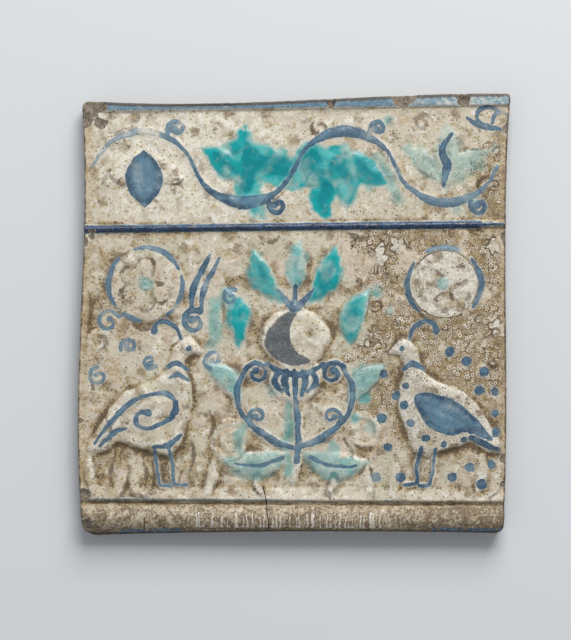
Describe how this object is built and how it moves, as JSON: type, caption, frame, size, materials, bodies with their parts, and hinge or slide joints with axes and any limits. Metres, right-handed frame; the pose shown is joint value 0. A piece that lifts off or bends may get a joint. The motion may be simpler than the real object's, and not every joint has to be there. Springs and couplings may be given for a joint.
{
  "type": "square tile",
  "caption": "Square moulded wall tile of glazed fritware: low relief, painted band, raised cord across the face and a rolled foot moulding.",
  "frame": {"origin": "middle of the tile's back, on the surface that it lies on", "axes": "+Z out of the glazed face, +Y towards the tile's top edge, +X along the frieze to the right"},
  "size_m": [0.3526, 0.36, 0.023],
  "materials": {
    "glazed_fritware": "worn tin glaze, painted in cobalt, turquoise and brown lustre"
  },
  "bodies": {
    "root": {"tile": "glazed_fritware"}
  },
  "joints": []
}
